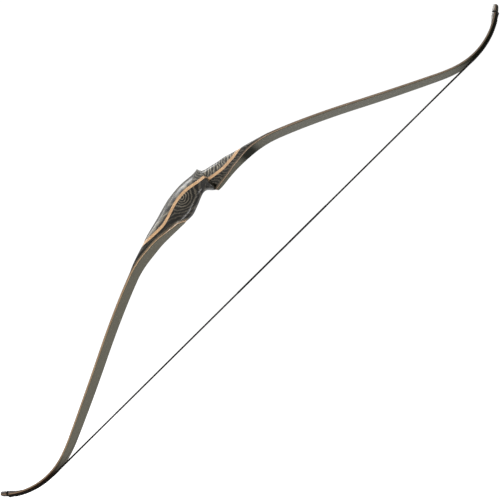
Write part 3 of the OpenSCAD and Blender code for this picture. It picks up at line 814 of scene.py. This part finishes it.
def shoulders(ring):
    """The ring with a point on each broad face, close to its edges, so that the face is shaded flat."""
    n = len(ring) // 2

    def inward(p, sign):
        return p[0], p[1] + sign * SHOULDER, p[2]
    return ([inward(ring[0], 1)] + ring[:n] + [inward(ring[n - 1], 1), inward(ring[n], -1)]
            + ring[n:] + [inward(ring[-1], -1)])


def even_ring(side, pts):
    """Places on both edges of points of (x, height, half width)."""
    both = [(x, -y, h) for x, h, y in pts] + [(x, y, h) for x, h, y in reversed(pts)]
    return [world(side, *p) for p in both]


# Where the points of a strip's edge lie, as shares of its thickness
EDGE_SHARES = (0.0, 0.12, 0.3, 0.6, 1.0)


def bonded_ring(side, i, z0, z1):
    """Ring of layer i on the riser, with its belly face at z0 and its back face at z1."""
    x0, x1 = strip_line(side, z0, i), strip_line(side, z1, i + 1)
    pts = [(x0 * (1 - f) + x1 * f, z0 + (z1 - z0) * f) for f in EDGE_SHARES]

    def near_y(z, x):
        return WINDOW_Y if side == "upper" and z <= SHELF_Z else left_y(z, x)
    left = [(x, near_y(z, x), height(side, z)) for x, z in pts]
    right = [(x, right_y(z, x), height(side, z)) for x, z in reversed(pts)]
    return [world(side, *p) for p in shoulders(left + right)]


def edge_ease(s, d):
    """How far the rounding of the limb's outer edges draws its side in at depth d."""
    near = max(0, min(d, depth(BACK_FACE, s) - d))
    return 0.0 if near >= EDGE_ROUND else EDGE_ROUND - math.sqrt(EDGE_ROUND ** 2 - (EDGE_ROUND - near) ** 2)


def free_ring(side, i, s):
    """Ring of layer i beyond the riser."""
    pts = []
    for f in EDGE_SHARES:
        d = depth(i, s) + (depth(i + 1, s) - depth(i, s)) * f
        pts.append((*limb_point(s, rounded(s, d)), edge_w(s) - edge_ease(s, d)))
    return shoulders(even_ring(side, pts))


def steps(start, step, count):
    """A count of places, one step apart."""
    return [start + step * i for i in range(count)]


# Distances of a limb's sections: closer on the recurve, in the saddle and round the nose
LAST = TIP_END - 0.02
STATIONS = steps(S_FADE["upper"], 6, 66) + steps(S_RECURVE - 12, 3, 58) + steps(S_GROOVE - 3.4, 0.4, 18)
STATIONS += [TIP_END - NOSE_L * cosd(9 * i) for i in range(10)] + [LAST]
STATIONS = sorted({s for s in STATIONS if s <= LAST})


def bend_place(side, reach):
    """Place of the belly line at a reach beyond the limb's joint, in metres."""
    x, h, _ = belly(distance_at(BEND_H + reach))
    return Vector(world(side, x, 0, h)) * MM


def limb_strip(side, i):
    """Layer i of a limb, from its scarf over the riser to the tip."""
    name = LAYERS[i]
    if side == "upper":
        scarf, levels = SCARF_UP, [z for z in RISER_Z if z >= STRIP_UP_Z]
    else:
        scarf, levels = SCARF_LOW, [z for z in reversed(RISER_Z) if z <= STRIP_LOW_Z]
    ends = [scarf[0] + (scarf[1] - scarf[0]) * depth(k, 0) / depth(BACK_FACE, 0) for k in (i, i + 1)]
    free = [s for s in STATIONS if s > S_FADE[side] + 1]
    places = [distance_at(height(side, z)) for z in [ends[0]] + levels] + free
    rings = [bonded_ring(side, i, *ends)] + [bonded_ring(side, i, z, z) for z in levels]
    rings += [free_ring(side, i, s) for s in free]

    def across_and_along(r, j):
        return rings[r][j][1] * MM, places[r] * MM
    obj = loft(f"{side}_{name}_strip", rings, 40, across_and_along, inside_out=side == "upper")
    dress(obj, LAYER_MATS[side, name])
    bend_place(side, -BEND_REACH)
    bend_place(side, BEND_REACH)
    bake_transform(obj)
    if name != "glue_line":
        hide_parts(f"{side}_{name}_base", f"{side}_{name}")


def tip_cap(side):
    """Overlay on the back of the tip."""
    rings = []
    for s in [s for s in STATIONS if s > S_OVERLAY]:
        start, w, t = depth(BACK_FACE, s), edge_w(s), cap_t(s)
        top, ease = start + t, min(CAP_ROUND, t * 0.6)
        outline = (w, start), (w, top - ease), (w - ease * 0.3, top - ease * 0.3), (w - ease, top)
        rings.append(even_ring(side, [(*limb_point(s, rounded(s, d)), y) for y, d in outline]))
    obj = loft(f"{side}_tip_cap", rings, 50, inside_out=side == "upper")
    dress(obj, TIP_MATS[side])
    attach(obj, f"{side}_limb")
    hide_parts(f"{side}_tip_overlay")


for side in OUTWARD:
    for i in range(len(LAYERS)):
        limb_strip(side, i)
    tip_cap(side)


# String
def unit(v):
    return v / np.linalg.norm(v)


def smooth_route(points, step):
    """Catmull-Rom curve through the points, sampled about every step."""
    p = [np.array(q, float) for q in points]
    p = [2 * p[0] - p[1]] + p + [2 * p[-1] - p[-2]]
    route = []
    for a, b, c, d in zip(p, p[1:], p[2:], p[3:]):
        n = max(1, int(np.linalg.norm(c - b) / step))
        for t in (j / n for j in range(n)):
            bend = (2 * a - 5 * b + 4 * c - d) * t ** 2 + (3 * b - a - 3 * c + d) * t ** 3
            route.append(0.5 * (2 * b + (c - a) * t + bend))
    route.append(p[-2])
    return route


def travelled(route):
    """Distance gone at each point of a route."""
    gone = [0.0]
    for a, b in zip(route, route[1:]):
        gone.append(gone[-1] + float(np.linalg.norm(np.subtract(b, a))))
    return gone


def dome(ring, centre, outward, r):
    """Rings that close a cord's end, from the ring outwards to just short of the dome's top."""
    count, top_at, rise = 5, 5.3, 0.85
    rings = []
    for k in range(1, count + 1):
        a = math.pi / 2 * k / top_at
        middle = centre + outward * r * rise * math.sin(a)
        rings.append([tuple(middle + (np.array(q) - centre) * math.cos(a)) for q in ring])
    return rings


def cord(name, route, radius, first=(0, 1, 0), lobes=0, pitch=1.0, relief=0.0, hand=1, start=0.0,
         domed_start=False, domed_end=False, half=None):
    """A laid cord. radius is a function of the distance gone, and first points at the section's first point.
    The lobes turn once every pitch, as if the cord began the distance start before its route. half is
    (distance, sign): beyond it the cord is half round, on that side of the middle plane."""
    route = [np.array(p, float) for p in route]
    gone = travelled(route)
    sides = 6 * lobes or 16
    rings, out = [], np.array(first, float)
    for i, p in enumerate(route):
        ahead = unit(route[min(len(route) - 1, i + 1)] - route[max(0, i - 1)])
        out = unit(out - ahead * float(out @ ahead))
        across = np.cross(ahead, out)
        turn = 2 * math.pi * (gone[i] + start) / pitch * hand
        ring = []
        for j in range(sides):
            a = 2 * math.pi * j / sides
            r = radius(gone[i]) * (1 - relief * (1 - abs(math.cos(lobes * (a - turn) / 2))))
            q = p + r * (math.cos(a) * out + math.sin(a) * across)
            if half and gone[i] > half[0]:
                q[1] = half[1] * max(LAP_GAP / 2, half[1] * q[1])
            ring.append(tuple(q))
        rings.append(ring)
    if domed_start:
        caps = dome(rings[0], route[0], unit(route[0] - route[1]), radius(gone[0]))
        rings = caps[::-1] + rings
        gone = [gone[0]] * len(caps) + gone
    if domed_end:
        caps = dome(rings[-1], route[-1], unit(route[-1] - route[-2]), radius(gone[-1]))
        rings = rings + caps
        gone = gone + [gone[-1]] * len(caps)
    return loft(name, rings, 60, lambda r, j: (j / sides, (gone[r] + start) * MM))


def string_piece(obj, side, node, material=STRING_MAT):
    dress(obj, material)
    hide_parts(f"{side}_{node}")


# How the loop, the twisted ends and the plain strands are laid
LOOPED = {"lobes": 3, "pitch": 9, "relief": 0.3}
TWISTED = {"lobes": 3, "pitch": 14, "relief": 0.3}
STRANDED = {"lobes": 8, "pitch": 70, "relief": 0.12}


def loop_cord(side):
    """Loop round the tip: two legs on the belly, and a turn through the saddle and round the overlay."""
    over, out = -LOOP_R - CORD_GAP, W_TIP / 2 - 0.5
    under = depth(BACK_FACE, S_GROOVE) + cap_t(S_GROOVE) + LOOP_R + CORD_GAP

    # Points of one leg, as the way from the groove, the way out from the middle, and the depth
    leg = [
        (-LOOP_L + 0.3, LOOP_R + 0.1, over), (-LOOP_L + 3, LOOP_R + 0.25, over),
        (-LOOP_L * 0.6, LOOP_R + 1.2, over), (-LOOP_L * 0.35, out * 0.55, over),
        (-LOOP_L * 0.15, out * 0.84, over - 0.1), (-0.9, out * 0.98, over + 0.2),
        (-0.1, out + 0.3, over + 1.3), (0, out + 0.35, 1.4), (0, out + 0.35, under - 3.4),
        (0, out + 0.1, under - 1.6), (0, out - 1, under - 0.4), (0, out * 0.6, under), (0, out * 0.2, under),
    ]

    def on_tip(p, sign):
        x, h = limb_point(S_GROOVE + p[0], p[2])
        return world(side, x, sign * p[1], h)
    route = smooth_route([on_tip(p, 1) for p in leg] + [on_tip(p, -1) for p in reversed(leg)], 0.6)
    obj = cord(f"{side}_loop_cord", route, lambda d: LOOP_R, (1, 0, 0.5), **LOOPED, hand=OUTWARD[side],
               domed_start=True, domed_end=True)
    string_piece(obj, side, "string_loop")
    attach(obj, f"{side}_limb")


def contact_route(side, s0, s1, n=80):
    """Route of the string where it lies on the recurve."""
    route = []
    for i in range(n + 1):
        x, h = limb_point(s0 + (s1 - s0) * i / n, -(CORD_GAP + TWIST_R))
        route.append(world(side, x, 0, h))
    return route


def straight_route(side, h0, h1, n):
    """Route of the string where it runs straight, from height h0 to h1."""
    return [world(side, STRING_X, 0, h0 + (h1 - h0) * i / n) for i in range(n + 1)]


def twisted_cords(side):
    """The two lengths on the recurve and the straight twisted end, as three cords whose twist runs on from
    one to the next.
    """
    hand, limb, string = OUTWARD[side], f"{side}_limb", f"{side}_string"
    outer, inner = contact_route(side, S_JOIN, S_CONTACT), contact_route(side, S_CONTACT, S_LIFT)
    straight = straight_route(side, LIFT_H, LIFT_H - TWIST_L, 300)
    to_inner = travelled(outer)[-1]
    to_straight = to_inner + travelled(inner)[-1]

    def contact_r(d):
        return TWIST_R + CONTACT_FUZZ

    def taper(d):
        return FUZZ + TWIST_R + (STRAND_R - TWIST_R) * min(1, d / TWIST_L)
    obj = cord(f"{side}_contact_outer_cord", outer, contact_r, **TWISTED, hand=hand, domed_start=True)
    string_piece(obj, side, "string_contact_outer")
    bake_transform(obj)
    obj = cord(f"{side}_contact_inner_cord", inner, contact_r, **TWISTED, hand=hand, start=to_inner)
    string_piece(obj, side, "string_contact_inner")
    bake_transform(obj)
    obj = cord(f"{side}_twist_cord", straight, taper, **TWISTED, hand=hand, start=to_straight)
    string_piece(obj, side, "string_twist")
    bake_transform(obj)


def plain_cords(side):
    """The plain strands, and half of the serving. The serving's end is half round, so that the two halves
    pass each other as the bow is drawn."""
    hand = OUTWARD[side]
    end = height(side, NOCK_Z) + SERVING_L / 2
    length = (SERVING_L + LAP_REST) / 2
    strands = straight_route(side, LIFT_H - TWIST_L, end, 240)
    obj = cord(f"{side}_strand_cord", strands, lambda d: STRAND_R + FUZZ, **STRANDED, hand=hand)
    string_piece(obj, side, "string_strand")
    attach(obj, f"{side}_string")

    def wound(d):
        between_threads = 0.5 + 0.5 * cosd(360 * d / THREAD_PITCH)
        return (SERVING_R + FUZZ) * (1 - THREAD_DEPTH * between_threads)
    turns = straight_route(side, end, end - length, 930)
    obj = cord(f"{side}_serving_cord", turns, wound, domed_start=True, half=(length - LAP_L, hand))
    string_piece(obj, side, "serving", SERVING_MAT)
    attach(obj, f"{side}_string")


for side in OUTWARD:
    loop_cord(side)
    twisted_cords(side)
    plain_cords(side)


# Floor, world and lights. Lengths here are in metres
FLOOR_HALF, FLOOR_Z = 60.0, -0.735
FLOOR_TONE, FLOOR_GLOW = 0.82, 0.72
WORLD_LIGHT = 0.4


def seen_white(tree):
    """1 for rays from the camera, and for those seen in gloss or through glass."""
    path = tree.nodes.new("ShaderNodeLightPath")
    seen = tree.math("ADD", path.outputs["Is Camera Ray"], path.outputs["Is Glossy Ray"])
    return tree.math("MINIMUM", tree.math("ADD", seen, path.outputs["Is Transmission Ray"]), 1.0)


def white_floor():
    """A pale floor that keeps the bow's shadow and lets the background stay white."""
    a, z = FLOOR_HALF, FLOOR_Z
    mesh = bpy.data.meshes.new("floor")
    mesh.from_pydata([(-a, -a, z), (a, -a, z), (a, a, z), (-a, a, z)], [], [(0, 1, 2, 3)])
    floor = bpy.data.objects.new("floor", mesh)
    bpy.context.scene.collection.objects.link(floor)
    surface = Surface("floor", roughness=0.9, specular=0.0)
    surface.inputs["Base Color"].default_value = (FLOOR_TONE, FLOOR_TONE, FLOOR_TONE, 1)
    surface.inputs["Emission Color"].default_value = (1, 1, 1, 1)
    glow = surface.math("MULTIPLY", seen_white(surface), FLOOR_GLOW)
    surface.links.new(glow, surface.inputs["Emission Strength"])
    mesh.materials.append(surface.material)


def white_world():
    """A white background that lights the bow at WORLD_LIGHT and is seen at strength 1."""
    studio = bpy.data.worlds.new("studio")
    bpy.context.scene.world = studio
    studio.use_nodes = True
    tree = Tree(studio.node_tree)
    background = tree.nodes["Background"]
    background.inputs["Color"].default_value = (1, 1, 1, 1)
    strength = tree.math("MULTIPLY_ADD", seen_white(tree), 1 - WORLD_LIGHT, WORLD_LIGHT)
    tree.links.new(strength, background.inputs["Strength"])


def lamp(name, place, aim, width, length, power):
    """A soft lamp of a width and a length, turned towards its aim. Its power is in watts."""
    data = bpy.data.lights.new(name, "AREA")
    data.shape = "RECTANGLE"
    data.size, data.size_y = width, length
    data.energy = power
    obj = bpy.data.objects.new(name, data)
    bpy.context.scene.collection.objects.link(obj)
    obj.location = place
    obj.rotation_mode = "QUATERNION"
    obj.rotation_quaternion = (Vector(aim) - Vector(place)).to_track_quat("-Z", "Y")


white_floor()
white_world()
lamp("key", (-1.6, -2.6, 1.9), (0, 0, 0), 1.2, 1.2, 12)
lamp("side", (-2.7, -1.4, 0.3), (0, 0, 0), 1.0, 1.6, 110)
lamp("fill", (2.7, -1.5, 0.3), (0, 0, 0), 0.5, 2.2, 80)
lamp("top", (0.2, 0.6, 2.8), (0.1, 0, 0), 1.4, 1.4, 40)
bpy.context.scene.view_settings.view_transform = "Standard"
